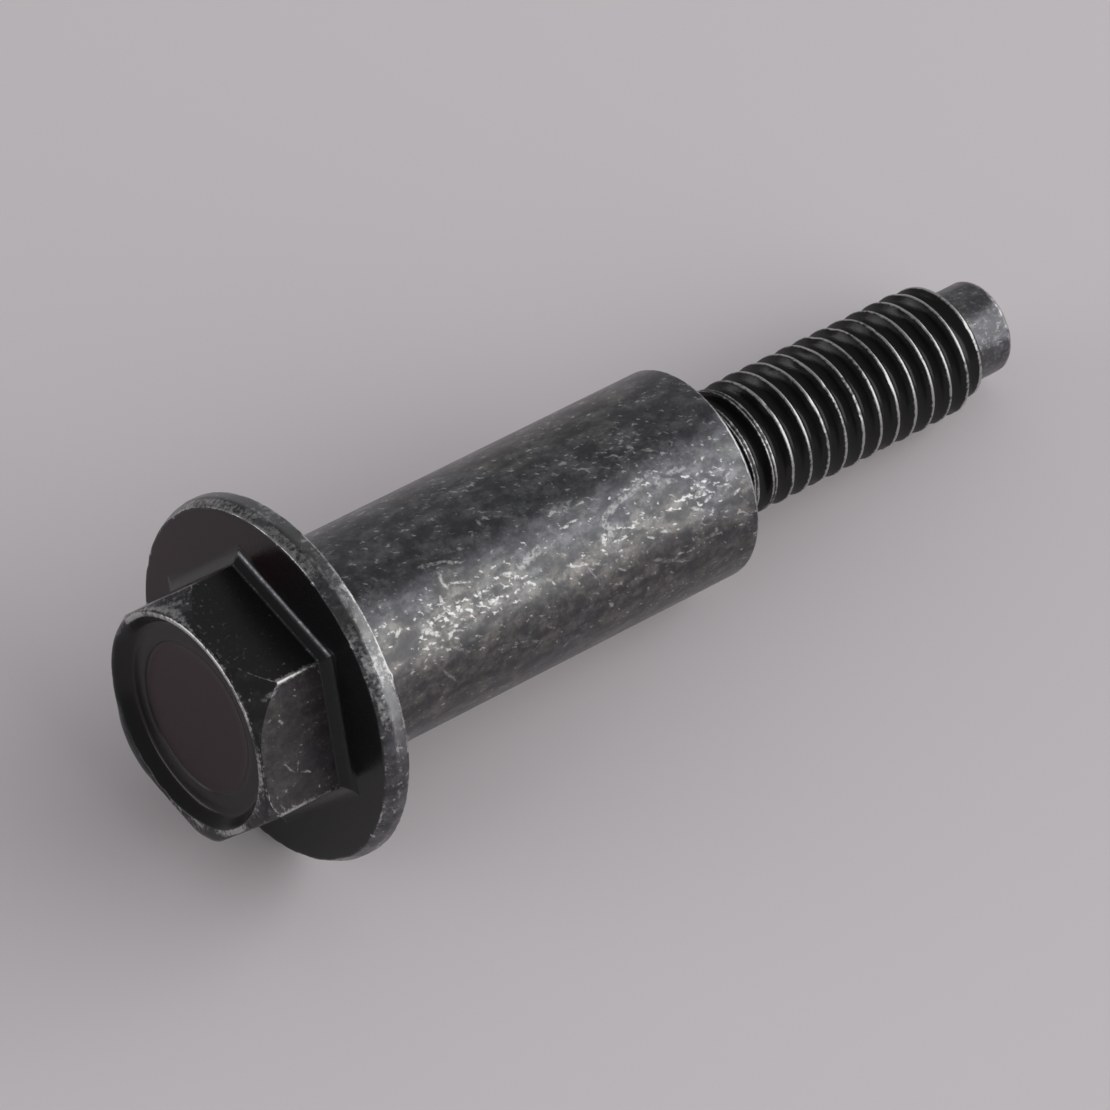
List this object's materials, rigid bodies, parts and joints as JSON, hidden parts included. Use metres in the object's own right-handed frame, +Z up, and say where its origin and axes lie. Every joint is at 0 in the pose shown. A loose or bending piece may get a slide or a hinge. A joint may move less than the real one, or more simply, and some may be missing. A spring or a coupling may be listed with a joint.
{
  "type": "hex flange shoulder bolt",
  "caption": "Blackened steel shoulder bolt with a dished hex head, round flange, plain bearing shoulder, reduced machine thread and a short dog point, worn bright at its edges.",
  "frame": {"origin": "on the floor under the middle of the bolt's length as it lies", "axes": "+X from the head to the tip, level; +Z up; the bolt's axis dips 8.2 degrees from the head to the tip"},
  "size_m": [0.0444, 0.0162, 0.0161],
  "materials": {
    "black_steel": "worn black oxide over steel, satin, bare bright flecks on edges and shoulder"
  },
  "bodies": {
    "root": {"bolt": "black_steel"}
  },
  "joints": []
}
